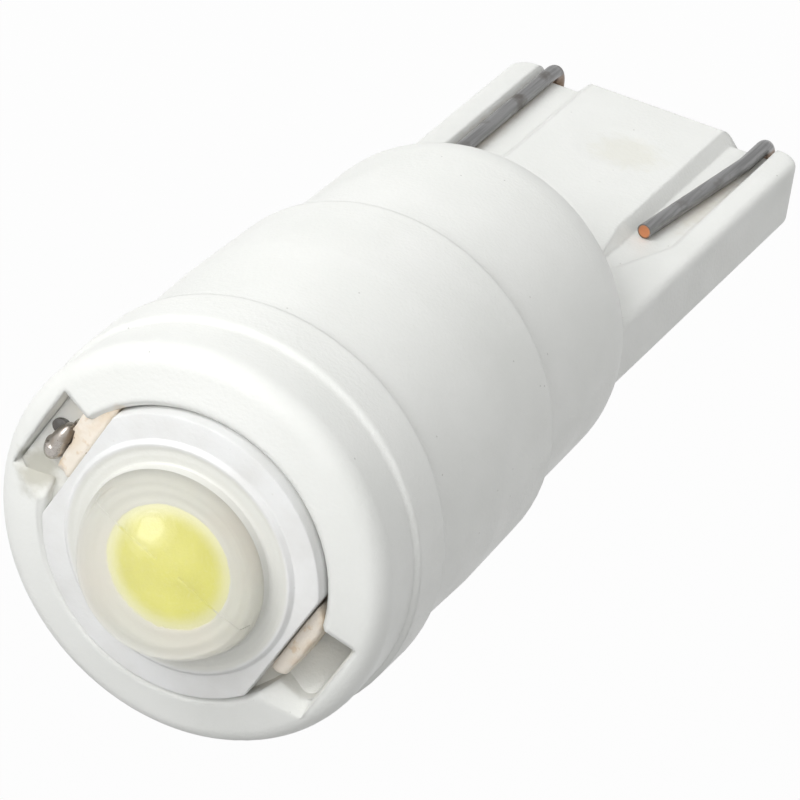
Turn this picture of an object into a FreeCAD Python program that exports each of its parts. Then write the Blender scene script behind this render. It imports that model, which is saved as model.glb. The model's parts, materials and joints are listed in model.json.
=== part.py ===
import FreeCAD, Part
import math
import os

import Sketcher
from FreeCAD import Vector

# Wedge base lamp with one light emitter in its nose, millimetres
# The axis is Z: the wedge tip is at the origin and the lens points up
# The lead axis is the line through both solder tabs, turned about Z by lead_turn

SIZES = {
    # wedge
    "wedge_half_width": 4.75,
    "wedge_half_thickness": 1.05,
    "wedge_corner_radius": 0.7,
    "wedge_edge_radius": 0.24,
    "wedge_root": 13.0,
    # grooves along the wedge
    "panel_half_width": 2.2,
    "groove_outer_top": 3.95,
    "groove_inner_floor": 2.5,
    "groove_outer_floor": 3.75,
    "groove_floor": 0.72,
    "groove_over": 0.5,
    "short_groove_end": 7.6,
    "run_out_end": 9.9,
    "run_out_inner": 2.6,
    "run_out_outer": 3.1,
    "run_out_floor": 1.0,
    "core_tip_radius": 0.44,
    # barrel
    "dome_face": 11.56,
    "dome_radius": 2.0,
    "rear_radius": 5.0,
    "rear_front_radius": 5.12,
    "middle_face": 18.3,
    "middle_rear_radius": 5.5,
    "middle_belly_radius": 5.6,
    "middle_belly": 21.8,
    "middle_front_radius": 5.54,
    "middle_edge": 0.3,
    "collar_face": 25.6,
    "collar_radius": 5.82,
    "collar_edge": 0.2,
    "ridge_rear": 27.2,
    "ridge_front": 27.36,
    "collar_waist_radius": 5.68,
    "lip_radius": 5.75,
    "lip_outer": 29.12,
    "lip_edge_radius": 0.6,
    "lip_inner": 29.5,
    # recess for the emitter
    "bore_clearance": 0.2,
    "bore_mouth": 0.18,
    "bore_floor": 25.6,
    "pocket_inner": 3.0,
    "pocket_outer": 4.98,
    "pocket_steep_side": 1.28,
    "pocket_open_side": 1.42,
    "pocket_flare_depth": 0.6,
    "pocket_side_flare": 0.92,
    "pocket_outer_flare": 0.3,
    "pocket_corner_radius": 0.45,
    "pocket_floor": 24.2,
    "lead_turn": 155.0,
    # cavity for the resistor
    "cavity_end": 2.1,
    "cavity_radius": 2.1,
    "cavity_floor": 12.9,
    # wires
    "wire_radius": 0.225,
    "wire_across": 3.5,
    "wire_clearance": 0.01,
    "wire_tip": 0.35,
    "wire_tip_bend": 0.6,
    "wire_end": 7.2,
    "wire_skew": 2.85,
    "wire_skew_start": 1.5,
    "wire_skew_bend": 2.0,
    "wire_hole_radius": 0.3,
    # emitter
    "slug_bottom": 25.85,
    "slug_radius": 2.95,
    "slug_shoulder": 27.6,
    "cup_outer_radius": 1.7,
    "cup_top": 29.8,
    "cup_mouth_radius": 1.3,
    "cup_floor_radius": 0.8,
    "cup_floor": 29.35,
    "housing_bottom": 26.3,
    "housing_radius": 4.05,
    "flange_bottom": 28.95,
    "flat_distance": 3.57,
    "flat_gap": 0.04,
    "body_flat": 3.5,
    "shoulder_root": 3.4,
    "shoulder_bottom": 27.75,
    "shoulder_top": 29.25,
    "anode_shoulder_radius": 4.12,
    "anode_shoulder_start": -2.1,
    "anode_shoulder_end": 0.75,
    "horn_out": 4.3,
    "horn_start": -1.22,
    "horn_end": -0.5,
    "cathode_shoulder_out": 4.05,
    "cathode_shoulder_start": -0.8,
    "cathode_shoulder_end": 1.05,
    "well_radius": 2.6,
    "lead_floor": 28.2,
    "flange_top": 29.65,
    "flange_radius": 4.0,
    "rim_step_radius": 3.35,
    "rim_step": 0.12,
    "lens_radius": 2.75,
    "dome_sink": 0.15,
    "gel_radius": 2.3,
    "gel_rise": 0.55,
    # chip, phosphor and bond wires
    "die_half": 0.5,
    "die_height": 0.15,
    "die_bond": 0.04,
    "phosphor_edge": 0.95,
    "phosphor_edge_top": 29.98,
    "phosphor_top": 30.06,
    "bond_radius": 0.018,
    "bond_rise": 30.12,
    "bond_start": 0.3,
    "bond_end": 2.2,
    # leads
    "lead_half_width": 0.4,
    "lead_thickness": 0.3,
    "lead_inner": 1.95,
    "anode_bend": 4.15,
    "cathode_bend": 3.62,
    "anode_top": 28.8,
    "cathode_bottom": 26.4,
    # solder
    "anode_solder_out": 4.53,
    "cathode_solder_out": 4.1,
    "solder_half_thickness": 0.32,
    "solder_half_width": 0.55,
    "solder_half_height": 0.48,
    "anode_solder": 28.95,
    "cathode_solder": 27.0,
    # wire runs inside
    "wire_gap": 0.005,
    "anode_wire_top": 28.9,
    "cathode_wire_top": 27.2,
    "cross_run": 24.75,
    "bottom_run": 13.6,
    # resistor
    "resistor_bottom": 14.6,
    "resistor_top": 22.6,
    "resistor_radius": 1.4,
    "cap_radius": 1.5,
    "cap_face": 0.3,
    "cap_skirt": 0.9,
    # sleeves
    "sleeve_radius": 0.4,
    "anode_sleeve_inner": 0.9,
    "anode_sleeve_outer": 3.7,
    "cathode_sleeve_bottom": 14.5,
    "cathode_sleeve_top": 23.6,
    "pad_gap": 0.05,
}

FULL_TURN = 360
CORNERS = ("transformed", "right", "round")
TURNS = {"near": 0, "far": 180}
SIGNS = {"near": "", "far": "- "}

doc = FreeCAD.newDocument("wedge_lamp")
sheet = doc.addObject("Spreadsheet::Sheet", "Sizes")
for row, (alias, value) in enumerate(SIZES.items(), start=1):
    sheet.set(f"A{row}", alias)
    sheet.set(f"B{row}", str(value))
    sheet.setAlias(f"B{row}", alias)
doc.recompute()


def size(alias):
    """Give the sheet's value of one alias."""
    return float(getattr(sheet, alias))


def bound(alias):
    """Give an alias, or a sum of aliases, as an expression on the sheet."""
    words = alias.split()
    return " ".join("Sizes." + word if word in SIZES else word for word in words)


def new_body(name):
    """Start a body whose label is also its file name."""
    body = doc.addObject("PartDesign::Body", name)
    body.Label = name
    return body


def new_sketch(body, name, plane, height=None):
    """Attach a sketch to one of the body's own origin planes, raised to a height where one is given."""
    sketch = body.newObject("Sketcher::SketchObject", name)
    origin_plane = [item for item in body.Origin.OriginFeatures if item.Role == plane][0]
    sketch.AttachmentSupport = (origin_plane, [""])
    sketch.MapMode = "FlatFace"
    if height:
        sketch.setExpression("AttachmentOffset.Base.z", bound(height))
    return sketch


def place_point(sketch, line, end, across, along):
    """Tie one end of a line to two expressions, measured from the sketch's origin."""
    for kind, expression in (("DistanceX", across), ("DistanceY", along)):
        if expression == "0":
            axis = -2 if kind == "DistanceX" else -1
            sketch.addConstraint(Sketcher.Constraint("PointOnObject", line, end, axis))
            continue
        index = sketch.addConstraint(Sketcher.Constraint(kind, -1, 1, line, end, 1.0))
        sketch.setExpression(f"Constraints[{index}]", bound(expression))


def polygon(sketch, corners):
    """Draw a closed outline whose corners are pairs of expressions."""
    count = len(corners)
    angles = [math.tau * index / count for index in range(count)]
    starts = [Vector(10 + 5 * math.cos(angle), 10 + 5 * math.sin(angle), 0) for angle in angles]
    for index in range(count):
        sketch.addGeometry(Part.LineSegment(starts[index], starts[(index + 1) % count]), False)
    for index in range(count):
        sketch.addConstraint(Sketcher.Constraint("Coincident", index, 2, (index + 1) % count, 1))
    for index, (across, along) in enumerate(corners):
        place_point(sketch, index, 1, across, along)


def revolve(body, name, corners):
    """Turn a closed outline of radius and height pairs about Z."""
    sketch = new_sketch(body, name + "_outline", "XZ_Plane")
    polygon(sketch, corners)
    feature = body.newObject("PartDesign::Revolution", name)
    feature.Profile = sketch
    feature.ReferenceAxis = (sketch, ["V_Axis"])
    feature.Angle = FULL_TURN
    doc.recompute()
    return feature


def pad(body, name, sketch, length, midplane=False, kind="PartDesign::Pad", reverse=False):
    """Pad or pocket a sketch by a length from the sheet."""
    feature = body.newObject(kind, name)
    feature.Profile = sketch
    feature.setExpression("Length", bound(length))
    feature.Midplane = midplane
    feature.Reversed = reverse
    doc.recompute()
    return feature


def round_edges(body, name, base, chosen, radius):
    """Round the chosen edges of a feature."""
    edges = [f"Edge{number}" for number, edge in enumerate(base.Shape.Edges, start=1) if chosen(edge)]
    feature = body.newObject("PartDesign::Fillet", name)
    feature.Base = (base, edges)
    feature.setExpression("Radius", bound(radius))
    doc.recompute()
    return feature


def is_ring(radius, height):
    """Make a test for a round edge of one radius at one height."""
    def test(edge):
        curve = edge.Curve
        if not isinstance(curve, Part.Circle):
            return False
        return abs(curve.Radius - size(radius)) < 1e-4 and abs(curve.Center.z - size(height)) < 1e-4
    return test


def cylinder(name, radius, bottom, top, centre=("0", "0")):
    """Make an upright cylinder between two heights."""
    item = doc.addObject("Part::Cylinder", name)
    item.setExpression("Radius", bound(radius))
    item.setExpression("Height", bound(top) + " - (" + bound(bottom) + ")")
    item.setExpression("Placement.Base.x", bound(centre[0]))
    item.setExpression("Placement.Base.y", bound(centre[1]))
    item.setExpression("Placement.Base.z", bound(bottom))
    return item


def box(name, lows, highs):
    """Make a box between two corners."""
    item = doc.addObject("Part::Box", name)
    for side, axis, low, high in zip(("Length", "Width", "Height"), "xyz", lows, highs):
        item.setExpression(side, bound(high) + " - (" + bound(low) + ")")
        item.setExpression("Placement.Base." + axis, bound(low))
    return item


def fuse(name, shapes):
    """Join several objects."""
    item = doc.addObject("Part::MultiFuse", name)
    item.Shapes = shapes
    return item


def cut(name, base, tools):
    """Cut one or several tools out of a base."""
    item = doc.addObject("Part::Cut", name)
    item.Base = base
    item.Tool = tools[0] if len(tools) == 1 else fuse(name + "_tools", tools)
    item.Label = name
    return item


def turned(degrees):
    """Give the placement that turns a piece about Z."""
    return FreeCAD.Placement(Vector(0, 0, 0), FreeCAD.Rotation(Vector(0, 0, 1), degrees))


def wire_out():
    """Give how far a contact wire's centre lies from the wedge's middle plane."""
    return size("groove_floor") + size("wire_radius") + size("wire_clearance")


def on_lead_axis(out, height, side):
    """Give the point at a distance along the lead axis, on the anode side or the opposite one."""
    angle = math.radians(size("lead_turn") + TURNS[side])
    return Vector(out * math.cos(angle), out * math.sin(angle), height)


def bent_wire(points, bends, radius):
    """Sweep a round wire along straight runs joined by tangent arcs, or by a mitre where the bend is 0."""
    edges = []
    start = points[0]
    for before, corner, after, bend in zip(points, points[1:], points[2:], bends):
        if bend == 0:
            edges.append(Part.makeLine(start, corner))
            start = corner
            continue
        inward = (before - corner).normalize()
        outward = (after - corner).normalize()
        half = inward.getAngle(outward) / 2
        reach = bend / math.tan(half)
        first = corner + inward * reach
        last = corner + outward * reach
        bisector = (inward + outward).normalize()
        middle = corner + bisector * (bend / math.sin(half) - bend)
        if (first - start).Length > 1e-6:
            edges.append(Part.makeLine(start, first))
        edges.append(Part.Arc(first, middle, last).toShape())
        start = last
    edges.append(Part.makeLine(start, points[-1]))
    path = Part.Wire(edges)
    section = Part.Wire([Part.makeCircle(radius, points[0], points[1] - points[0])])
    return path.makePipeShell([section], True, False, CORNERS.index("right"))


def wire_piece(name, points, bends, radius):
    """Add a bent wire as a piece of its own."""
    item = doc.addObject("Part::Feature", name)
    item.Label = name
    item.Shape = bent_wire(points, bends, size(radius))
    item.Placement = turned(0)
    return item


def make_barrel():
    """Stepped round barrel with its domed rear shoulder and rounded lip."""
    body = new_body("barrel")
    base = revolve(body, "barrel_turned", [
        ("0", "dome_face"),
        ("rear_radius", "dome_face"),
        ("rear_front_radius", "middle_face"),
        ("middle_rear_radius - middle_edge", "middle_face"),
        ("middle_rear_radius", "middle_face + middle_edge"),
        ("middle_belly_radius", "middle_belly"),
        ("middle_front_radius", "collar_face"),
        ("collar_radius - collar_edge", "collar_face"),
        ("collar_radius", "collar_face + collar_edge"),
        ("collar_radius", "ridge_rear"),
        ("collar_waist_radius", "ridge_front"),
        ("lip_radius", "lip_outer"),
        ("flange_radius + bore_clearance", "lip_inner"),
        ("0", "lip_inner"),
    ])
    base = round_edges(body, "dome", base, is_ring("rear_radius", "dome_face"), "dome_radius")
    round_edges(body, "lip_edge", base, is_ring("lip_radius", "lip_outer"), "lip_edge_radius")
    return body


def make_wedge():
    """Flat wedge with rounded tip corners and softly rounded rims."""
    body = new_body("wedge")
    sketch = new_sketch(body, "wedge_outline", "XZ_Plane")
    polygon(sketch, [
        ("- wedge_half_width", "0"),
        ("wedge_half_width", "0"),
        ("wedge_half_width", "wedge_root"),
        ("- wedge_half_width", "wedge_root"),
    ])
    base = pad(body, "wedge_plate", sketch, "2 * wedge_half_thickness", midplane=True)

    def is_tip_corner(edge):
        ends = [vertex.Point for vertex in edge.Vertexes]
        return max(abs(end.z) for end in ends) < 1e-6 and abs(ends[0].x - ends[1].x) < 1e-6

    base = round_edges(body, "tip_corners", base, is_tip_corner, "wedge_corner_radius")

    def is_rim(edge):
        box_of = edge.BoundBox
        on_face = box_of.YLength < 1e-6 and abs(abs(box_of.YMin) - size("wedge_half_thickness")) < 1e-4
        return on_face and box_of.ZMin < size("wedge_root") - 1e-3

    round_edges(body, "wedge_rims", base, is_rim, "wedge_edge_radius")
    return body


def groove_section(sketch, sign, inner, outer, floor_inner, floor_outer, floor):
    """Draw a groove's cross-section, which reaches past the wedge face by groove_over."""
    top = "wedge_half_thickness"
    over = "wedge_half_thickness + groove_over"
    polygon(sketch, [
        (sign + inner, top),
        (sign + floor_inner, floor),
        (sign + floor_outer, floor),
        (sign + outer, top),
        (sign + outer, over),
        (sign + inner, over),
    ])


def make_long_groove(side):
    """Groove that runs from the tip to the hole its wire comes out of."""
    body = new_body("long_groove_" + side)
    sketch = new_sketch(body, "long_section_" + side, "XY_Plane")
    groove_section(sketch, "- ", "panel_half_width", "groove_outer_top", "groove_inner_floor",
                   "groove_outer_floor", "groove_floor")
    pad(body, "long_run_" + side, sketch, "dome_face")
    body.Placement = turned(TURNS[side])
    return body


def make_short_groove(side):
    """Groove that runs out before it reaches the barrel, where a wire's cut end lies."""
    body = new_body("short_groove_" + side)
    tip = new_sketch(body, "short_section_" + side, "XY_Plane")
    groove_section(tip, "", "panel_half_width", "groove_outer_top", "groove_inner_floor",
                   "groove_outer_floor", "groove_floor")
    pad(body, "short_run_" + side, tip, "short_groove_end")
    deep = new_sketch(body, "run_out_deep_" + side, "XY_Plane", "short_groove_end")
    groove_section(deep, "", "panel_half_width", "groove_outer_top", "groove_inner_floor",
                   "groove_outer_floor", "groove_floor")
    shallow = new_sketch(body, "run_out_shallow_" + side, "XY_Plane", "run_out_end")
    groove_section(shallow, "", "run_out_inner", "run_out_outer", "run_out_inner + wire_gap",
                   "run_out_outer - wire_gap", "run_out_floor")
    loft = body.newObject("PartDesign::AdditiveLoft", "run_out_" + side)
    loft.Profile = deep
    loft.Sections = [shallow]
    loft.Ruled = True
    doc.recompute()
    body.Placement = turned(TURNS[side])
    return body


def pocket_outline(sketch, side, side_flare="0", outer_flare="0"):
    """Draw a pocket in plan: steep on one side, and flared on the other and at its outer end."""
    sign = SIGNS[side]
    outer = "pocket_outer + " + outer_flare
    steep = ("- " if side == "near" else "") + "pocket_steep_side"
    opened = sign + "pocket_open_side " + ("+ " if side == "near" else "- ") + side_flare
    polygon(sketch, [
        ("pocket_inner", steep),
        (outer, steep),
        (outer, opened),
        ("pocket_inner", opened),
    ])


def make_lead_pocket(side):
    """Slot in the lip for one solder tab, flared at its mouth and open to the cavity below."""
    body = new_body("lead_pocket_" + side)
    deep = new_sketch(body, "pocket_outline_" + side, "XY_Plane", "pocket_floor")
    pocket_outline(deep, side)
    base = pad(body, "pocket_run_" + side, deep, "lip_inner + groove_over - pocket_floor")

    def is_outer_corner(edge):
        ends = [vertex.Point for vertex in edge.Vertexes]
        upright = abs(ends[0].z - ends[1].z) > size("pocket_corner_radius")
        return upright and abs(ends[0].x - size("pocket_outer")) < 1e-6

    round_edges(body, "pocket_corners_" + side, base, is_outer_corner, "pocket_corner_radius")
    low = new_sketch(body, "flare_foot_" + side, "XY_Plane", "lip_inner - pocket_flare_depth")
    pocket_outline(low, side)
    high = new_sketch(body, "flare_mouth_" + side, "XY_Plane", "lip_inner + groove_over")
    pocket_outline(high, side, "pocket_side_flare", "pocket_outer_flare")
    loft = body.newObject("PartDesign::AdditiveLoft", "flare_" + side)
    loft.Profile = low
    loft.Sections = [high]
    loft.Ruled = True
    doc.recompute()
    body.Placement = turned(size("lead_turn") + TURNS[side])
    return body


def make_bore():
    """Round recess for the emitter, with a softened mouth."""
    body = new_body("emitter_bore")
    wall = "flange_radius + bore_clearance"
    revolve(body, "bore_turned", [
        ("0", "bore_floor"),
        (wall, "bore_floor"),
        (wall, "lip_inner - bore_mouth"),
        (wall + " + bore_mouth", "lip_inner"),
        (wall + " + bore_mouth", "lip_inner + groove_over"),
        ("0", "lip_inner + groove_over"),
    ])
    return body


def make_cavity():
    """Round-ended slot for the resistor and the wires."""
    ends = []
    for side, sign in (("near", ""), ("far", "- ")):
        ends.append(cylinder("cavity_end_" + side, "cavity_radius", "cavity_floor", "bore_floor + wire_gap",
                             (sign + "cavity_end", "0")))
    middle = box("cavity_middle", ("- cavity_end", "- cavity_radius", "cavity_floor"),
                 ("cavity_end", "cavity_radius", "bore_floor + wire_gap"))
    return fuse("cavity", ends + [middle])


def make_ceramic_body():
    """One moulded ceramic piece: barrel and wedge joined, then every recess cut."""
    blank = fuse("ceramic_blank", [make_barrel(), make_wedge()])
    tools = [make_bore(), make_cavity()]
    for side in TURNS:
        tools.append(make_long_groove(side))
        tools.append(make_short_groove(side))
        tools.append(make_lead_pocket(side))
    out = "groove_floor + wire_radius + wire_clearance"
    for side, across, out in (("near", "- wire_across", out), ("far", "wire_across", "- ( " + out + " )")):
        tools.append(cylinder("wire_hole_" + side, "wire_hole_radius", "dome_face - wire_gap",
                              "cavity_floor + wire_gap", (across, out)))
    cut_blank = cut("ceramic_cut", blank, tools)
    doc.recompute()
    rounded = doc.addObject("Part::Fillet", "ceramic_body")
    rounded.Base = cut_blank
    rounded.Label = "ceramic_body"

    def is_core_tip(edge):
        box_of = edge.BoundBox
        level = box_of.ZLength < 1e-6 and box_of.YLength < 1e-6 and abs(box_of.ZMin) < 1e-6
        return level and abs(abs(box_of.YMin) - size("groove_floor")) < 1e-4

    radius = size("core_tip_radius")
    numbers = [number for number, edge in enumerate(cut_blank.Shape.Edges, start=1) if is_core_tip(edge)]
    rounded.Edges = [(number, radius, radius) for number in numbers]
    return rounded


def make_heat_slug():
    """Copper slug whose top is the reflector cup."""
    body = new_body("heat_slug")
    revolve(body, "slug_turned", [
        ("0", "slug_bottom"),
        ("slug_radius", "slug_bottom"),
        ("slug_radius", "slug_shoulder"),
        ("cup_outer_radius", "slug_shoulder"),
        ("cup_outer_radius", "cup_top"),
        ("cup_mouth_radius", "cup_top"),
        ("cup_floor_radius", "cup_floor"),
        ("0", "cup_floor"),
    ])
    return body


def make_lead(name, side, bend, tab_end):
    """Solder tab: a level strip through the housing wall, bent up or down at its outer end."""
    body = new_body(name)
    sketch = new_sketch(body, name + "_outline", "XZ_Plane")
    outer = bend + " + lead_thickness"
    upper = "lead_floor + lead_thickness"
    if size(tab_end) > size("lead_floor"):
        corners = [("lead_inner", "lead_floor"), (outer, "lead_floor"), (outer, tab_end),
                   (bend, tab_end), (bend, upper), ("lead_inner", upper)]
    else:
        corners = [("lead_inner", "lead_floor"), (bend, "lead_floor"), (bend, tab_end),
                   (outer, tab_end), (outer, upper), ("lead_inner", upper)]
    polygon(sketch, corners)
    pad(body, name + "_strip", sketch, "2 * lead_half_width", midplane=True)
    body.Placement = turned(size("lead_turn") + TURNS[side])
    return body


def make_shoulders():
    """The blocks in front of the housing's two flats: one round outside with a horn, one straight."""
    low = "shoulder_bottom"
    high = "shoulder_top"
    arc = doc.addObject("Part::Common", "anode_shoulder")
    arc.Base = cylinder("anode_shoulder_disc", "anode_shoulder_radius", low, high)
    arc.Tool = box("anode_shoulder_part", ("shoulder_root", "anode_shoulder_start", low),
                   ("anode_shoulder_radius", "anode_shoulder_end", high))
    horn = box("anode_horn", ("shoulder_root", "horn_start", low), ("horn_out", "horn_end", high))
    bar = box("cathode_shoulder", ("- cathode_shoulder_out", "- cathode_shoulder_end", low),
              ("- shoulder_root", "- cathode_shoulder_start", high))
    return [arc, horn, bar]


def make_housing(leads):
    """Ivory moulding round the slug, with a well for the bond wires and a shoulder before each flat."""
    body = new_body("housing_ring")
    revolve(body, "housing_turned", [
        ("slug_radius", "housing_bottom"),
        ("housing_radius", "housing_bottom"),
        ("housing_radius", "flange_bottom"),
        ("well_radius", "flange_bottom"),
        ("well_radius", "lead_floor"),
        ("cup_outer_radius", "lead_floor"),
        ("cup_outer_radius", "slug_shoulder"),
        ("slug_radius", "slug_shoulder"),
    ])
    flatted = doc.addObject("Part::Common", "housing_flatted")
    flatted.Base = body
    flatted.Tool = box("housing_flats", ("- body_flat", "- housing_radius", "housing_bottom"),
                       ("body_flat", "housing_radius", "flange_bottom"))
    seat = box("flange_seat", ("- flat_distance - flat_gap", "- flange_radius", "flange_bottom"),
               ("flat_distance + flat_gap", "flange_radius", "shoulder_top + flat_gap"))
    blank = cut("housing_blank", fuse("housing_joined", [flatted] + make_shoulders()), [seat])
    blank.Placement = turned(size("lead_turn"))
    return cut("emitter_housing", blank, leads)


def make_lens():
    """Clear moulding: a dome on a round flange with two flats."""
    disc = cylinder("flange_disc", "flange_radius", "flange_bottom", "flange_top")
    across = box("flange_flats", ("- flat_distance", "- flange_radius", "flange_bottom"),
                 ("flat_distance", "flange_radius", "flange_top"))
    flange = doc.addObject("Part::Common", "flange")
    flange.Base = disc
    flange.Tool = across
    step = cylinder("rim_step_disc", "rim_step_radius", "flange_top", "flange_top + rim_step")
    ball = doc.addObject("Part::Sphere", "dome_ball")
    ball.setExpression("Radius", bound("lens_radius"))
    ball.setExpression("Placement.Base.z", bound("flange_top - dome_sink"))
    above = cylinder("dome_room", "flange_radius", "flange_top", "flange_top + 2 * lens_radius")
    cap = doc.addObject("Part::Common", "dome_cap")
    cap.Base = ball
    cap.Tool = above
    recess = cylinder("gel_recess", "gel_radius", "flange_bottom", "flange_top + gel_rise")
    lens = cut("emitter_lens", fuse("lens_blank", [flange, step, cap]), [recess])
    lens.Placement = turned(size("lead_turn"))
    return lens


def make_phosphor_blank():
    """Outline of the phosphor that fills the cup and stands a little proud of it."""
    body = new_body("phosphor_blank")
    revolve(body, "phosphor_turned", [
        ("0", "cup_floor"),
        ("cup_floor_radius", "cup_floor"),
        ("cup_mouth_radius", "cup_top"),
        ("phosphor_edge", "phosphor_edge_top"),
        ("0", "phosphor_top"),
    ])
    return body


def make_chip():
    """The chip and the bond under it."""
    half = "die_half"
    bond = box("die_attach", ("- " + half, "- " + half, "cup_floor"), (half, half, "cup_floor + die_bond"))
    die = box("led_die", ("- " + half, "- " + half, "cup_floor + die_bond"),
              (half, half, "cup_floor + die_bond + die_height"))
    for item in (bond, die):
        item.Label = item.Name
    return bond, die


def make_bond_wire(name, side):
    """Fine wire from the chip, over the cup's rim, to a lead."""
    die_top = size("cup_floor") + size("die_bond") + size("die_height")
    lead_top = size("lead_floor") + size("lead_thickness")
    points = [
        on_lead_axis(size("bond_start"), die_top, side),
        on_lead_axis(size("bond_start"), size("bond_rise"), side),
        on_lead_axis(size("bond_end"), size("bond_rise"), side),
        on_lead_axis(size("bond_end"), lead_top, side),
    ]
    return wire_piece(name, points, [0, 0], "bond_radius")


def make_contact_wires():
    """The two contact wires, each a hairpin round the wedge tip."""
    across = size("wire_across")
    out = wire_out()
    tip = -size("wire_tip")
    tip_bend = size("wire_tip_bend")
    end = size("wire_end")
    low = size("bottom_run")
    cross = size("cross_run")
    cap_end = size("resistor_bottom") - size("cap_face")
    left = wire_piece("contact_wire_left", [
        Vector(0, 0, cap_end),
        Vector(0, 0, low),
        Vector(-across, out, low),
        Vector(-across, out, tip),
        Vector(-across, -out, tip),
        Vector(-across, -out, end),
    ], [0, 0, tip_bend, tip_bend], "wire_radius")
    tab = size("cathode_bend") + size("lead_thickness") + size("wire_radius") + size("wire_gap")
    right = wire_piece("contact_wire_right", [
        on_lead_axis(tab, size("cathode_wire_top"), "far"),
        on_lead_axis(tab, cross, "far"),
        Vector(across, -out, cross),
        Vector(across, -out, tip),
        Vector(across, out, tip),
        Vector(across, out, size("wire_skew_start")),
        Vector(size("wire_skew"), out, end),
    ], [0, 0, tip_bend, tip_bend, size("wire_skew_bend")], "wire_radius")
    return left, right


def make_resistor():
    """Resistor: coated rod, a pressed cap on each end, and its upper wire."""
    rod = cylinder("resistor_body", "resistor_radius", "resistor_bottom", "resistor_top")
    rod.Label = "resistor_body"
    spans = {
        "resistor_cap_bottom": ("resistor_bottom - cap_face", "resistor_bottom + cap_skirt"),
        "resistor_cap_top": ("resistor_top - cap_skirt", "resistor_top + cap_face"),
    }
    pieces = [rod]
    for name, (low, high) in spans.items():
        shell = cylinder(name + "_shell", "cap_radius", low, high)
        core = cylinder(name + "_core", "resistor_radius", "resistor_bottom", "resistor_top")
        pieces.append(cut(name, shell, [core]))
    cross = size("cross_run")
    tab = size("anode_bend") + size("lead_thickness") + size("wire_radius") + size("wire_gap")
    pieces.append(wire_piece("resistor_lead_top", [
        Vector(0, 0, size("resistor_top") + size("cap_face")),
        Vector(0, 0, cross),
        on_lead_axis(tab, cross, "near"),
        on_lead_axis(tab, size("anode_wire_top"), "near"),
    ], [0, 0], "wire_radius"))
    return pieces


def make_sleeves():
    """Insulating sleeves on the two wires inside the cavity."""
    pieces = []
    spans = {
        "sleeve_anode": (on_lead_axis(size("anode_sleeve_inner"), size("cross_run"), "near"),
                         on_lead_axis(size("anode_sleeve_outer"), size("cross_run"), "near")),
        "sleeve_cathode": (Vector(size("wire_across"), -wire_out(), size("cathode_sleeve_bottom")),
                           Vector(size("wire_across"), -wire_out(), size("cathode_sleeve_top"))),
    }
    for name, (start, end) in spans.items():
        run = end - start
        tube = Part.makeCylinder(size("sleeve_radius"), run.Length, start, run)
        inside = Part.makeCylinder(size("wire_radius"), run.Length, start, run)
        item = doc.addObject("Part::Feature", name)
        item.Label = name
        item.Shape = tube.cut(inside)
        item.Placement = turned(0)
        pieces.append(item)
    return pieces


def make_solder(name, side, out, height, tools):
    """Solder round a tab and its wire, cut to fit both."""
    ball = doc.addObject("Part::Ellipsoid", name + "_blob")
    ball.setExpression("Radius1", bound("solder_half_height"))
    ball.setExpression("Radius2", bound("solder_half_thickness"))
    ball.setExpression("Radius3", bound("solder_half_width"))
    place = turned(size("lead_turn") + TURNS[side])
    place.Base = on_lead_axis(size(out), size(height), side)
    ball.Placement = place
    return cut(name, ball, tools)


def make_pads():
    """Adhesive under the slug, on the two lands beside the cavity."""
    pieces = []
    for name, low, high in (("thermal_adhesive_front", "cavity_radius + pad_gap", "slug_radius"),
                            ("thermal_adhesive_back", "- slug_radius", "- cavity_radius - pad_gap")):
        disc = cylinder(name + "_disc", "slug_radius", "bore_floor", "slug_bottom")
        part = box(name + "_part", ("- slug_radius", low, "bore_floor"), ("slug_radius", high, "slug_bottom"))
        item = doc.addObject("Part::Common", name)
        item.Base = disc
        item.Tool = part
        item.Label = name
        pieces.append(item)
    return pieces


def build():
    """Build every piece and give the list of those that are written."""
    ceramic = make_ceramic_body()
    slug = make_heat_slug()
    lens = make_lens()
    anode = make_lead("anode_lead", "near", "anode_bend", "anode_top")
    cathode = make_lead("cathode_lead", "far", "cathode_bend", "cathode_bottom")
    housing = make_housing([anode, cathode])
    bond, die = make_chip()
    bond_wires = [make_bond_wire("bond_wire_anode", "near"), make_bond_wire("bond_wire_cathode", "far")]
    phosphor_blank = make_phosphor_blank()
    phosphor = cut("phosphor_fill", phosphor_blank, [bond, die] + bond_wires)
    gel_blank = new_body("gel_blank")
    revolve(gel_blank, "gel_turned", [
        ("0", "lead_floor"),
        ("well_radius", "lead_floor"),
        ("well_radius", "flange_bottom"),
        ("gel_radius", "flange_bottom"),
        ("gel_radius", "flange_top + gel_rise"),
        ("0", "flange_top + gel_rise"),
    ])
    gel = cut("gel_fill", gel_blank, [slug, phosphor_blank, anode, cathode] + bond_wires)
    left, right = make_contact_wires()
    resistor = make_resistor()
    upper_wire = resistor[-1]
    solders = [
        make_solder("solder_anode", "near", "anode_solder_out", "anode_solder", [anode, upper_wire]),
        make_solder("solder_cathode", "far", "cathode_solder_out", "cathode_solder", [cathode, right]),
    ]
    pieces = [ceramic, slug, housing, lens, anode, cathode, bond, die, phosphor, gel, left, right]
    return pieces + bond_wires + resistor + make_sleeves() + solders + make_pads()


def write(pieces):
    """Check every object and write each piece to its own file."""
    doc.recompute()
    for item in doc.Objects:
        if {"Invalid", "Error"} & set(item.State):
            raise RuntimeError(f"{item.Name} failed: {item.State}")
    os.makedirs("parts", exist_ok=True)
    for piece in pieces:
        shape = piece.Shape
        if shape.isNull() or not shape.isValid() or len(shape.Solids) != 1:
            raise RuntimeError(f"{piece.Label} is not one valid solid: {len(shape.Solids)}")
        shape.exportStep(f"parts/{piece.Label}.step")
        print(piece.Label, round(shape.Volume, 3))


write(build())
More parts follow.
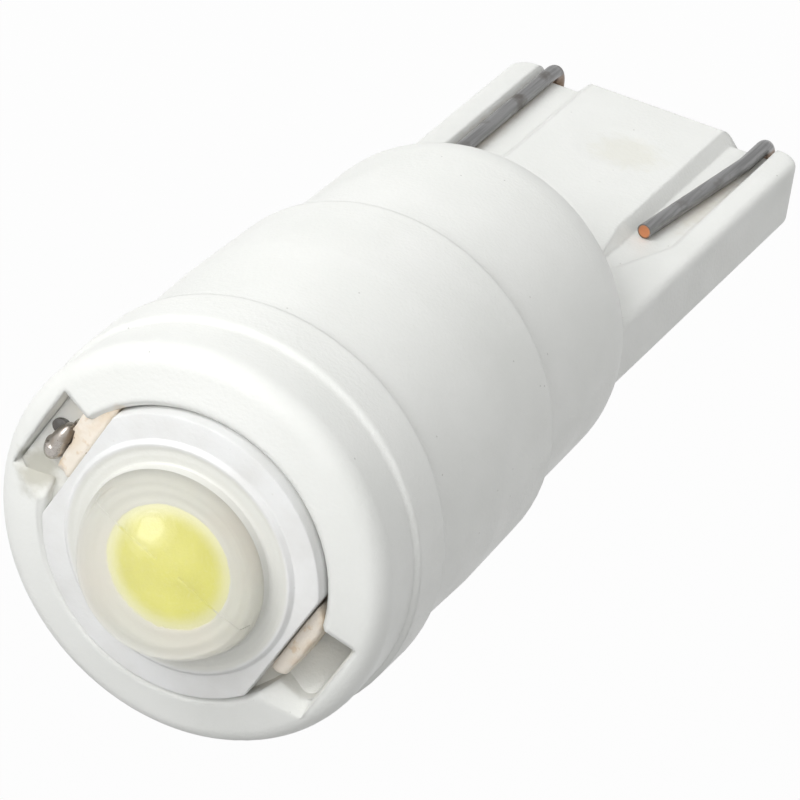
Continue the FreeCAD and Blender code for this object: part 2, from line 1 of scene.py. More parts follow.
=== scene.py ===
"""Dress a wedge base lamp: a white ceramic body, a domed light emitter in its nose, two contact wires.

Lengths are metres in the part's own frame: the wedge tip is at the origin and the lens points up Z.
Materials first turn Object coordinates into millimetres, so their numbers are millimetres.
"""

import json
import logging
import math
from dataclasses import dataclass
from enum import Enum
from typing import Any

import bmesh
import bpy
from mathutils import Matrix, Vector

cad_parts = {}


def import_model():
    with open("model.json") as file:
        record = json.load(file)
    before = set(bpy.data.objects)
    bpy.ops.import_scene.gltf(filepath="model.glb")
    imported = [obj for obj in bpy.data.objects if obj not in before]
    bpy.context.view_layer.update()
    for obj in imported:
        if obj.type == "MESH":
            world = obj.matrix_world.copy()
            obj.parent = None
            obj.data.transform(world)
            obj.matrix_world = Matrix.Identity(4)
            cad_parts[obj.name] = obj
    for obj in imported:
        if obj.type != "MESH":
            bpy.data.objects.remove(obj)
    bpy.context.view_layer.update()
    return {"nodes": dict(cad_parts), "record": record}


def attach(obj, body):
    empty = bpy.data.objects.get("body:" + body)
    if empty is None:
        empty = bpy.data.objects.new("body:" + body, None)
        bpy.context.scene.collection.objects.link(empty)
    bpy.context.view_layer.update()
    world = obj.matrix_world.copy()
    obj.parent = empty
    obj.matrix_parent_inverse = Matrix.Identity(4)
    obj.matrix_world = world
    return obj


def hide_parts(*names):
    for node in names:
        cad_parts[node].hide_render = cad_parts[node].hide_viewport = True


LOG = logging.getLogger("wedge_lamp")
MM = 0.001
BODY = "root"

Colour = tuple[float, float, float]


class Side(Enum):
    """The two ends of the lead axis, as turns about Z in degrees."""

    NEAR = 155.0
    FAR = 335.0

    def point(self, out: float, across: float, height: float) -> Vector:
        """Give a point from millimetres out along this side, across it and up Z."""
        turn = Matrix.Rotation(math.radians(self.value), 3, "Z")
        return turn @ Vector((out, across, height)) * MM


class Socket(Enum):
    """Kinds of socket that a node group has."""

    VALUE = "NodeSocketFloat"
    VECTOR = "NodeSocketVector"
    COLOUR = "NodeSocketColor"


class Graph:
    """The nodes of one material or group, added one after another."""

    def __init__(self, tree: bpy.types.NodeTree) -> None:
        """Start on an empty tree.

        Args:
            tree: The node tree that gets the nodes.
        """
        self.tree = tree
        self.count = 0

    def node(self, kind: str, inputs: dict[Any, Any] | None = None, **settings: Any) -> bpy.types.Node:
        """Add a node, with values or links on its inputs.

        Args:
            kind: The node's type name without its ShaderNode prefix.
            inputs: Values or output sockets, by the input's name or number.
            settings: Attributes of the node itself.

        Returns:
            The node.
        """
        made = self.tree.nodes.new("ShaderNode" + kind)
        made.location = (180 * self.count, 0)
        self.count += 1
        for name, value in settings.items():
            setattr(made, name, value)
        for name, value in (inputs or {}).items():
            self.feed(made.inputs[name], value)
        return made

    def feed(self, socket: bpy.types.NodeSocket, value: Any) -> None:
        """Link an output socket to an input, or set the input's value."""
        if isinstance(value, bpy.types.NodeSocket):
            self.tree.links.new(value, socket)
        elif isinstance(value, tuple) and len(value) == 3 and socket.type == "RGBA":
            socket.default_value = (*value, 1.0)
        else:
            socket.default_value = value

    def group(self, group: bpy.types.NodeTree, inputs: dict[str, Any]) -> bpy.types.NodeOutputs:
        """Place a node group and give its outputs."""
        made = self.node("Group", node_tree=group)
        for name, value in inputs.items():
            self.feed(made.inputs[name], value)
        return made.outputs

    def maths(self, operation: str, first: Any, second: Any = 0.0) -> bpy.types.NodeSocket:
        """Give the result of one sum on two values."""
        return self.node("Math", {0: first, 1: second}, operation=operation).outputs[0]

    def mix(self, share: Any, low: Any, high: Any) -> bpy.types.NodeSocket:
        """Mix two colours by a share."""
        made = self.node("Mix", data_type="RGBA")
        self.feed(made.inputs[0], share)
        self.feed(made.inputs[6], low)
        self.feed(made.inputs[7], high)
        return made.outputs[2]

    def between(self, value: Any, low: float, high: float, first: float = 0.0, last: float = 1.0) -> Any:
        """Give first below low, last above high, and a smooth change between them."""
        inputs = {"Value": value, "From Min": low, "From Max": high, "To Min": first, "To Max": last}
        return self.node("MapRange", inputs, interpolation_type="SMOOTHSTEP").outputs[0]

    def millimetres(self) -> bpy.types.NodeSocket:
        """Give Object coordinates in millimetres."""
        place = self.node("TexCoord").outputs["Object"]
        return self.node("Mapping", {"Vector": place, "Scale": (1 / MM, 1 / MM, 1 / MM)}).outputs[0]


class Effects:
    """Node groups that several finishes share, each built once."""

    def __init__(self) -> None:
        """Build every group."""
        self.mottle = self._mottle()
        self.specks = self._specks()
        self.spot = self._spot()
        self.grain = self._grain()
        self.streaks = self._streaks()

    @staticmethod
    def _start(name: str, values: dict[str, Socket], result: str) -> tuple[Graph, Any, Any]:
        """Begin a group with named inputs and one output.

        Args:
            name: The group's name.
            values: The kind of each input, by name.
            result: The output's name.

        Returns:
            The group's graph, the sockets that bring its inputs, and the socket for its result.
        """
        tree = bpy.data.node_groups.new(name, "ShaderNodeTree")
        for title, kind in values.items():
            tree.interface.new_socket(name=title, in_out="INPUT", socket_type=kind.value)
        tree.interface.new_socket(name=result, in_out="OUTPUT", socket_type=Socket.VALUE.value)
        entry = tree.nodes.new("NodeGroupInput")
        leave = tree.nodes.new("NodeGroupOutput")
        return Graph(tree), entry.outputs, leave.inputs[result]

    def _mottle(self) -> bpy.types.NodeTree:
        """Soft cloudy patches between two limits."""
        kinds = {"Vector": Socket.VECTOR, "Scale": Socket.VALUE, "Low": Socket.VALUE, "High": Socket.VALUE}
        graph, given, result = self._start("soft_mottle", kinds, "Mask")
        noise = graph.node("TexNoise", {"Vector": given["Vector"], "Scale": given["Scale"], "Detail": 3.0})
        limits = {"Value": noise.outputs[0], "From Min": given["Low"], "From Max": given["High"]}
        graph.feed(result, graph.node("MapRange", limits).outputs[0])
        return graph.tree

    def _specks(self) -> bpy.types.NodeTree:
        """Sparse small dots, each in a cell of its own."""
        kinds = {"Vector": Socket.VECTOR, "Scale": Socket.VALUE, "Size": Socket.VALUE, "Share": Socket.VALUE}
        graph, given, result = self._start("sparse_specks", kinds, "Mask")
        cells = graph.node("TexVoronoi", {"Vector": given["Vector"], "Scale": given["Scale"]})
        chance = graph.node("SeparateColor", {0: cells.outputs["Color"]}).outputs[0]
        chosen = graph.maths("LESS_THAN", chance, given["Share"])
        near = graph.maths("LESS_THAN", cells.outputs["Distance"], given["Size"])
        graph.feed(result, graph.maths("MULTIPLY", chosen, near))
        return graph.tree

    def _spot(self) -> bpy.types.NodeTree:
        """A soft uneven patch round one place."""
        kinds = {"Vector": Socket.VECTOR, "Centre": Socket.VECTOR, "Reach": Socket.VECTOR, "Unevenness": Socket.VALUE}
        graph, given, result = self._start("soft_spot", kinds, "Mask")
        away = graph.node("VectorMath", {0: given["Vector"], 1: given["Centre"]}, operation="SUBTRACT").outputs[0]
        scaled = graph.node("VectorMath", {0: away, 1: given["Reach"]}, operation="DIVIDE").outputs[0]
        length = graph.node("VectorMath", {0: scaled}, operation="LENGTH").outputs["Value"]
        noise = graph.node("TexNoise", {"Vector": given["Vector"], "Scale": 3.0, "Detail": 3.0}).outputs[0]
        shift = graph.maths("MULTIPLY", graph.maths("SUBTRACT", noise, 0.5), given["Unevenness"])
        graph.feed(result, graph.between(graph.maths("ADD", length, shift), 0.35, 1.0, 1.0, 0.0))
        return graph.tree

    def _grain(self) -> bpy.types.NodeTree:
        """Height of a moulded surface: fine grain over a slow waviness."""
        kinds = {"Vector": Socket.VECTOR, "Scale": Socket.VALUE, "Waviness": Socket.VALUE}
        graph, given, result = self._start("moulded_grain", kinds, "Height")
        fine = graph.node("TexNoise", {"Vector": given["Vector"], "Scale": given["Scale"], "Detail": 2.0}).outputs[0]
        slow = graph.node("TexNoise", {"Vector": given["Vector"], "Scale": 0.5, "Detail": 1.0}).outputs[0]
        graph.feed(result, graph.maths("ADD", fine, graph.maths("MULTIPLY", slow, given["Waviness"])))
        return graph.tree

    def _streaks(self) -> bpy.types.NodeTree:
        """Long marks along Z, as drawing leaves on a wire."""
        kinds = {"Vector": Socket.VECTOR, "Scale": Socket.VALUE, "Length": Socket.VALUE}
        graph, given, result = self._start("drawn_streaks", kinds, "Mask")
        along = graph.node("CombineXYZ", {0: given["Scale"], 1: given["Scale"]})
        graph.feed(along.inputs[2], graph.maths("DIVIDE", given["Scale"], given["Length"]))
        stretched = graph.node("VectorMath", {0: given["Vector"], 1: along.outputs[0]}, operation="MULTIPLY").outputs[0]
        noise = graph.node("TexNoise", {"Vector": stretched, "Scale": 1.0, "Detail": 3.0}).outputs[0]
        graph.feed(result, graph.between(noise, 0.35, 0.65))
        return graph.tree


@dataclass(frozen=True)
class Finish:
    """A material built from nodes. Each finish fills in its own surface."""

    name: str

    def build(self, effects: Effects) -> bpy.types.Material:
        """Make the material.

        Args:
            effects: The shared node groups.

        Returns:
            The finished material.
        """
        material = bpy.data.materials.new(self.name)
        material.use_nodes = True
        material.node_tree.nodes.clear()
        graph = Graph(material.node_tree)
        shader = graph.node("BsdfPrincipled")
        self.surface(graph, shader, effects)
        output = graph.node("OutputMaterial")
        graph.feed(output.inputs["Surface"], shader.outputs[0])
        return material

    def surface(self, graph: Graph, shader: bpy.types.Node, effects: Effects) -> None:
        """Feed the shader."""
        raise NotImplementedError

    @staticmethod
    def bump(graph: Graph, shader: bpy.types.Node, height: Any, depth: float, rounding: float = 0.0) -> None:
        """Give the shader a bump, over edges that look rounded where a rounding is given.

        Args:
            graph: The material's graph.
            shader: The shader that gets the normal.
            height: The bump's height map.
            depth: The bump's depth in metres.
            rounding: The radius of the soft edges in metres.
        """
        made = graph.node("Bump", {"Strength": 1.0, "Distance": depth, "Height": height})
        if rounding:
            soft = graph.node("Bevel", {"Radius": rounding}, samples=4)
            graph.feed(made.inputs["Normal"], soft.outputs[0])
        graph.feed(shader.inputs["Normal"], made.outputs[0])


@dataclass(frozen=True)
class Mark:
    """One coloured patch on the ceramic, either a real stain or painted shade, millimetres in the part's frame."""

    centre: Colour
    reach: Colour
    colour: Colour
    share: float


@dataclass(frozen=True)
class FiredCeramic(Finish):
    """White fired ceramic with a satin skin, fine specks, a few stains and a few patches of painted shade."""

    pale: Colour = (0.855, 0.862, 0.835)
    grey: Colour = (0.81, 0.82, 0.79)
    speck: Colour = (0.3, 0.29, 0.26)
    roughness: float = 0.42
    stains_and_shade: tuple[Mark, ...] = ()
    dimple_height: float = 3.3
    dimple_radius: float = 1.35
    rounding: float = 0.22

    def surface(self, graph: Graph, shader: bpy.types.Node, effects: Effects) -> None:
        """Feed colour, roughness and bump."""
        place = graph.millimetres()
        clouds = graph.group(effects.mottle, {"Vector": place, "Scale": 0.35, "Low": 0.3, "High": 0.75})[0]
        colour = graph.mix(clouds, self.pale, self.grey)
        # Mix each patch over the base colour: real stains, and painted shade in the lead slots and beside the wires.
        for mark in self.stains_and_shade:
            inputs = {"Vector": place, "Centre": mark.centre, "Reach": mark.reach, "Unevenness": 0.7}
            mask = graph.group(effects.spot, inputs)[0]
            colour = graph.mix(graph.maths("MULTIPLY", mask, mark.share), colour, mark.colour)
        specks = graph.group(effects.specks, {"Vector": place, "Scale": 2.0, "Size": 0.055, "Share": 0.26})[0]
        colour = graph.mix(graph.maths("MULTIPLY", specks, 0.4), colour, self.speck)
        graph.feed(shader.inputs["Base Color"], colour)
        patches = graph.group(effects.mottle, {"Vector": place, "Scale": 1.1, "Low": 0.3, "High": 0.7})[0]
        graph.feed(shader.inputs["Roughness"], graph.between(patches, 0.0, 1.0, self.roughness, self.roughness + 0.12))
        grain = graph.group(effects.grain, {"Vector": place, "Scale": 9.0, "Waviness": 2.0})[0]
        height = graph.maths("ADD", grain, graph.maths("MULTIPLY", self.dimple(graph, place), 3.0))
        self.bump(graph, shader, height, 0.012 * MM, self.rounding * MM)
        shader.inputs["Specular IOR Level"].default_value = 0.45

    def dimple(self, graph: Graph, place: Any) -> Any:
        """Give the height of the shallow round press mark on the wedge's panel."""
        away = graph.node("VectorMath", {0: place, 1: (0.0, 1.05, self.dimple_height)}, operation="DISTANCE").outputs["Value"]
        return graph.between(away, self.dimple_radius - 0.6, self.dimple_radius)


@dataclass(frozen=True)
class ClearSilicone(Finish):
    """Clear moulded silicone, a little cloudy near its surface."""

    tint: Colour = (0.93, 0.925, 0.885)
    roughness: float = 0.07
    haze: float = 0.12
    clearness: float = 0.8
    ior: float = 1.41

    def surface(self, graph: Graph, shader: bpy.types.Node, effects: Effects) -> None:
        """Feed a clear body with faint flow marks."""
        place = graph.millimetres()
        clouds = graph.group(effects.mottle, {"Vector": place, "Scale": 1.2, "Low": 0.35, "High": 0.7})[0]
        graph.feed(shader.inputs["Roughness"], graph.between(clouds, 0.0, 1.0, self.roughness, self.haze))
        shader.inputs["Base Color"].default_value = (*self.tint, 1.0)
        shader.inputs["IOR"].default_value = self.ior
        shader.inputs["Transmission Weight"].default_value = self.clearness
        grain = graph.group(effects.grain, {"Vector": place, "Scale": 5.0, "Waviness": 3.0})[0]
        self.bump(graph, shader, grain, 0.004 * MM)


@dataclass(frozen=True)
class FrostedSilicone(Finish):
    """The lens's flange, frosted by its mould until it looks white."""

    white: Colour = (0.835, 0.84, 0.835)
    shade: Colour = (0.785, 0.785, 0.77)
    painted_ring_shade: Colour = (0.76, 0.76, 0.715)
    flange_start: float = 3.3
    roughness: float = 0.3

    def surface(self, graph: Graph, shader: bpy.types.Node, effects: Effects) -> None:
        """Feed a milky white with soft patches and small chips, and painted shade on the rings inside the flange."""
        place = graph.millimetres()
        clouds = graph.group(effects.mottle, {"Vector": place, "Scale": 0.9, "Low": 0.35, "High": 0.7})[0]
        specks = graph.group(effects.specks, {"Vector": place, "Scale": 3.0, "Size": 0.09, "Share": 0.2})[0]
        mask = graph.maths("MAXIMUM", clouds, specks)
        colour = graph.mix(mask, self.white, self.shade)
        parts = graph.node("SeparateXYZ", {0: place})
        flat = graph.node("CombineXYZ", {0: parts.outputs[0], 1: parts.outputs[1]}).outputs[0]
        radius = graph.node("VectorMath", {0: flat}, operation="LENGTH").outputs["Value"]
        # Painted shade: the rings inside flange_start are greyer than the flange.
        ring_shade_share = graph.between(radius, self.flange_start - 0.15, self.flange_start, 1.0, 0.0)
        graph.feed(shader.inputs["Base Color"], graph.mix(ring_shade_share, colour, self.painted_ring_shade))
        graph.feed(shader.inputs["Roughness"], graph.between(clouds, 0.0, 1.0, self.roughness, 0.5))
        grain = graph.group(effects.grain, {"Vector": place, "Scale": 10.0, "Waviness": 4.0})[0]
        self.bump(graph, shader, grain, 0.012 * MM, 0.06 * MM)


@dataclass(frozen=True)
class CloudedGel(Finish):
    """Silicone gel that has turned milky round the cup, with fine rings from its filling."""

    milky: Colour = (0.77, 0.765, 0.7)
    warm: Colour = (0.76, 0.71, 0.63)
    ring_width: float = 0.3

    def surface(self, graph: Graph, shader: bpy.types.Node, effects: Effects) -> None:
        """Feed a milky body with one warm patch and faint rings."""
        place = graph.millimetres()
        clouds = graph.group(effects.mottle, {"Vector": place, "Scale": 0.5, "Low": 0.45, "High": 0.75})[0]
        colour = graph.mix(clouds, self.milky, self.warm)
        graph.feed(shader.inputs["Base Color"], colour)
        graph.feed(shader.inputs["Roughness"], graph.between(clouds, 0.0, 1.0, 0.35, 0.5))
        rings = graph.node("TexWave", {"Vector": place, "Scale": 0.31 / self.ring_width, "Distortion": 0.6},
                           wave_type="RINGS", rings_direction="Z")
        self.bump(graph, shader, rings.outputs["Fac"], 0.02 * MM)


@dataclass(frozen=True)
class IvoryMoulding(Finish):
    """Ivory plastic, browned by flux where the leads were soldered."""

    ivory: Colour = (0.87, 0.8, 0.7)
    stain: Colour = (0.68, 0.5, 0.3)
    crack: Colour = (0.3, 0.18, 0.09)
    stained_radius: float = 4.05
    roughness: float = 0.45

    def surface(self, graph: Graph, shader: bpy.types.Node, effects: Effects) -> None:
        """Feed ivory with stains that gather at the outer edge."""
        place = graph.millimetres()
        parts = graph.node("SeparateXYZ", {0: place})
        flat = graph.node("CombineXYZ", {0: parts.outputs[0], 1: parts.outputs[1]}).outputs[0]
        radius = graph.node("VectorMath", {0: flat}, operation="LENGTH").outputs["Value"]
        edge = graph.between(radius, self.stained_radius - 0.3, self.stained_radius + 0.15)
        clouds = graph.group(effects.mottle, {"Vector": place, "Scale": 1.7, "Low": 0.42, "High": 0.66})[0]
        drops = graph.group(effects.mottle, {"Vector": place, "Scale": 3.0, "Low": 0.56, "High": 0.7})[0]
        mask = graph.maths("MAXIMUM", graph.maths("MULTIPLY", edge, clouds), drops)
        mask = graph.maths("MULTIPLY", mask, 0.6)
        colour = graph.mix(mask, self.ivory, self.stain)
        burnt = graph.group(effects.specks, {"Vector": place, "Scale": 5.0, "Size": 0.16, "Share": 0.16})[0]
        colour = graph.mix(graph.maths("MULTIPLY", burnt, 0.6), colour, self.crack)
        graph.feed(shader.inputs["Base Color"], colour)
        graph.feed(shader.inputs["Roughness"], graph.between(mask, 0.0, 1.0, self.roughness, 0.2))
        grain = graph.group(effects.grain, {"Vector": place, "Scale": 7.0, "Waviness": 1.5})[0]
        self.bump(graph, shader, graph.maths("ADD", grain, mask), 0.02 * MM, 0.14 * MM)


@dataclass(frozen=True)
class PhosphorSilicone(Finish):
    """Yellow phosphor grains settled in silicone."""

    bright: Colour = (0.84, 0.81, 0.07)
    deep: Colour = (0.7, 0.66, 0.01)
    rim: Colour = (0.92, 0.9, 0.55)
    rim_radius: float = 0.95
    cup_radius: float = 1.42

    def surface(self, graph: Graph, shader: bpy.types.Node, effects: Effects) -> None:
        """Feed grains over slow clouds, paler at the rim."""
        place = graph.millimetres()
        clouds = graph.group(effects.mottle, {"Vector": place, "Scale": 0.45, "Low": 0.3, "High": 0.6})[0]
        colour = graph.mix(clouds, self.bright, self.deep)
        grains = graph.group(effects.specks, {"Vector": place, "Scale": 22.0, "Size": 0.35, "Share": 0.3})[0]
        colour = graph.mix(graph.maths("MULTIPLY", grains, 0.2), colour, self.rim)
        parts = graph.node("SeparateXYZ", {0: place})
        flat = graph.node("CombineXYZ", {0: parts.outputs[0], 1: parts.outputs[1]}).outputs[0]
        radius = graph.node("VectorMath", {0: flat}, operation="LENGTH").outputs["Value"]
        colour = graph.mix(graph.between(radius, self.rim_radius, self.cup_radius), colour, self.rim)
        graph.feed(shader.inputs["Base Color"], colour)
        graph.feed(shader.inputs["Roughness"], graph.between(clouds, 0.0, 1.0, 0.55, 0.7))
        grain = graph.group(effects.grain, {"Vector": place, "Scale": 20.0, "Waviness": 0.5})[0]
        self.bump(graph, shader, grain, 0.01 * MM)


@dataclass(frozen=True)
class Metal(Finish):
    """A metal with two tones, patches of tarnish and drawn or cast marks."""

    light: Colour
    dark: Colour
    tarnish: Colour
    roughness: float = 0.35
    streak_length: float = 6.0
    tarnish_low: float = 0.52
    tarnish_high: float = 0.7
    metallic: float = 1.0
    mark_depth: float = 0.006

    def surface(self, graph: Graph, shader: bpy.types.Node, effects: Effects) -> None:
        """Feed the metal's colour, roughness and marks."""
        place = graph.millimetres()
        streaks = graph.group(effects.streaks, {"Vector": place, "Scale": 12.0, "Length": self.streak_length})[0]
        colour = graph.mix(streaks, self.light, self.dark)
        limits = {"Vector": place, "Scale": 1.4, "Low": self.tarnish_low, "High": self.tarnish_high}
        dull = graph.group(effects.mottle, limits)[0]
        colour = self.local(graph, graph.mix(dull, colour, self.tarnish), place)
        graph.feed(shader.inputs["Base Color"], colour)
        graph.feed(shader.inputs["Roughness"], graph.between(dull, 0.0, 1.0, self.roughness, self.roughness + 0.25))
        shader.inputs["Metallic"].default_value = self.metallic
        self.bump(graph, shader, graph.maths("ADD", streaks, dull), self.mark_depth * MM)

    def local(self, graph: Graph, colour: Any, place: Any) -> Any:
        """Change the colour at one place, where a metal has one."""
        return colour


@dataclass(frozen=True)
class TinnedWire(Metal):
    """Tinned copper wire, bare copper on its cut end, with painted shade and a painted warm reflection on the side that
    lies on the ceramic.
    """

    copper: Colour = (0.72, 0.3, 0.15)
    cut_height: float = 7.19
    cut_centre: Colour = (2.85, 0.955, 7.2)
    core_radius: float = 0.16
    underside_shade: Colour = (0.2, 0.13, 0.08)
    full_shade_level: float = 0.79
    no_shade_level: float = 0.9

    def local(self, graph: Graph, colour: Any, place: Any) -> Any:
        """Paint shade and a warm reflection on the underside, and bare the cut end."""
        parts = graph.node("SeparateXYZ", {0: place})
        depth = graph.maths("ABSOLUTE", parts.outputs[1])
        # Painted shade and painted warm reflection: the side nearer the ceramic is darkened and browned.
        under = graph.between(depth, self.full_shade_level, self.no_shade_level, 0.8, 0.0)
        colour = graph.mix(under, colour, self.underside_shade)
        away = graph.node("VectorMath", {0: place, 1: self.cut_centre}, operation="DISTANCE").outputs["Value"]
        return graph.mix(graph.between(away, self.core_radius, self.core_radius + 0.05, 1.0, 0.0), colour, self.copper)


@dataclass(frozen=True)
class BondWire(Metal):
    """Silver bond wire, yellow from phosphor where it crosses the cup."""

    coat: Colour = (0.76, 0.73, 0.08)
    cup_radius: float = 1.3
    metallic: float = 0.0

    def local(self, graph: Graph, colour: Any, place: Any) -> Any:
        """Colour the run over the cup."""
        parts = graph.node("SeparateXYZ", {0: place})
        flat = graph.node("CombineXYZ", {0: parts.outputs[0], 1: parts.outputs[1]}).outputs[0]
        radius = graph.node("VectorMath", {0: flat}, operation="LENGTH").outputs["Value"]
        return graph.mix(graph.between(radius, self.cup_radius - 0.1, self.cup_radius + 0.1, 1.0, 0.0), colour, self.coat)


@dataclass(frozen=True)
class Coating(Finish):
    """A plain covering with soft colour clouds, specks and a fine grain."""

    main: Colour
    second: Colour
    roughness: float = 0.5
    specular: float = 0.5
    grain_scale: float = 8.0
    grain_depth: float = 0.01

    def surface(self, graph: Graph, shader: bpy.types.Node, effects: Effects) -> None:
        """Feed colour, roughness and grain."""
        place = graph.millimetres()
        clouds = graph.group(effects.mottle, {"Vector": place, "Scale": 1.2, "Low": 0.35, "High": 0.7})[0]
        specks = graph.group(effects.specks, {"Vector": place, "Scale": 4.0, "Size": 0.12, "Share": 0.3})[0]
        mask = graph.maths("MAXIMUM", clouds, specks)
        graph.feed(shader.inputs["Base Color"], graph.mix(mask, self.main, self.second))
        graph.feed(shader.inputs["Roughness"], graph.between(clouds, 0.0, 1.0, self.roughness, self.roughness + 0.1))
        shader.inputs["Specular IOR Level"].default_value = self.specular
        grain = graph.group(effects.grain, {"Vector": place, "Scale": self.grain_scale, "Waviness": 0.5})[0]
        self.bump(graph, shader, grain, self.grain_depth * MM)


@dataclass(frozen=True)
class BandedCoating(Coating):
    """A resistor's coat with its painted value bands."""

    bands: tuple[tuple[float, Colour], ...] = ()
    band_width: float = 0.7

    def surface(self, graph: Graph, shader: bpy.types.Node, effects: Effects) -> None:
        """Paint the bands over the coat."""
        super().surface(graph, shader, effects)
        coat = shader.inputs["Base Color"].links[0].from_socket
        height = graph.node("SeparateXYZ", {0: graph.millimetres()}).outputs[2]
        for middle, colour in self.bands:
            away = graph.maths("ABSOLUTE", graph.maths("SUBTRACT", height, middle))
            coat = graph.mix(graph.maths("LESS_THAN", away, self.band_width / 2), coat, colour)
        graph.feed(shader.inputs["Base Color"], coat)


@dataclass(frozen=True)
class WovenSleeve(Finish):
    """White sleeve woven from glass yarn."""

    yarn: Colour = (0.86, 0.85, 0.8)
    gap: Colour = (0.6, 0.58, 0.52)
    pitch: float = 0.16

    def surface(self, graph: Graph, shader: bpy.types.Node, effects: Effects) -> None:
        """Feed crossing yarns."""
        place = graph.millimetres()
        waves = []
        for turn in (math.radians(35), math.radians(-35)):
            turned = graph.node("Mapping", {"Vector": place, "Rotation": (turn, turn, 0.0)}).outputs[0]
            wave = graph.node("TexWave", {"Vector": turned, "Scale": 0.31 / self.pitch, "Distortion": 0.3})
            waves.append(wave.outputs["Fac"])
        weave = graph.maths("MAXIMUM", waves[0], waves[1])
        graph.feed(shader.inputs["Base Color"], graph.mix(weave, self.gap, self.yarn))
        shader.inputs["Roughness"].default_value = 0.8
        self.bump(graph, shader, weave, 0.03 * MM)


class Mesh:
    """One new piece, shaped as a bmesh and then hung on the frame."""

    def __init__(self, name: str) -> None:
        """Start empty.

        Args:
            name: The piece's name in the scene.
        """
        self.name = name
        self.bm = bmesh.new()

    def turned(self, profile: list[tuple[float, float]], steps: int) -> None:
        """Spin an open outline of radius and height pairs, in millimetres, about Z.

        Args:
            profile: The outline from the axis at the bottom to the axis at the top.
            steps: How many steps make a full turn.
        """
        points = [self.bm.verts.new(Vector((radius, 0.0, height)) * MM) for radius, height in profile]
        edges = [self.bm.edges.new(pair) for pair in zip(points, points[1:])]
        bmesh.ops.spin(self.bm, geom=points + edges, axis=(0, 0, 1), cent=(0, 0, 0),
                       angle=math.tau, steps=steps, use_merge=True, use_duplicate=False)

    def trimmed(self, place: Vector, normal: Vector) -> None:
        """Cut off what lies past a plane and close the cut."""
        geometry = self.bm.verts[:] + self.bm.edges[:] + self.bm.faces[:]
        cut = bmesh.ops.bisect_plane(self.bm, geom=geometry, plane_co=place, plane_no=normal, clear_outer=True)
        edges = [item for item in cut["geom_cut"] if isinstance(item, bmesh.types.BMEdge)]
        bmesh.ops.edgeloop_fill(self.bm, edges=edges)

    def finish(self, finish: bpy.types.Material, slot: str, replaces: tuple[str, ...] = (),
               smooth_angle: float = 35.0, second: bpy.types.Material | None = None) -> bpy.types.Object:
        """Close the mesh, turn it into an object and hang it on the frame.

        Args:
            finish: The piece's material.
            slot: The record's material slot; not used.
            replaces: The CAD nodes that it stands for.
            smooth_angle: Edges flatter than this, in degrees, shade smoothly.
            second: The material of the faces that are marked for it.

        Returns:
            The object.
        """
        bmesh.ops.remove_doubles(self.bm, verts=self.bm.verts, dist=0.0005 * MM)
        bmesh.ops.recalc_face_normals(self.bm, faces=self.bm.faces)
        for face in self.bm.faces:
            face.smooth = True
        for edge in self.bm.edges:
            if edge.is_manifold and edge.calc_face_angle() > math.radians(smooth_angle):
                edge.smooth = False
        data = bpy.data.meshes.new(self.name)
        self.bm.to_mesh(data)
        self.bm.free()
        data.materials.append(finish)
        if second:
            data.materials.append(second)
        made = bpy.data.objects.new(self.name, data)
        bpy.context.scene.collection.objects.link(made)
        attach(made, BODY)
        if replaces:
            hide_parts(*replaces)
        LOG.info("piece %s: %d faces", made.name, len(data.polygons))
        return made


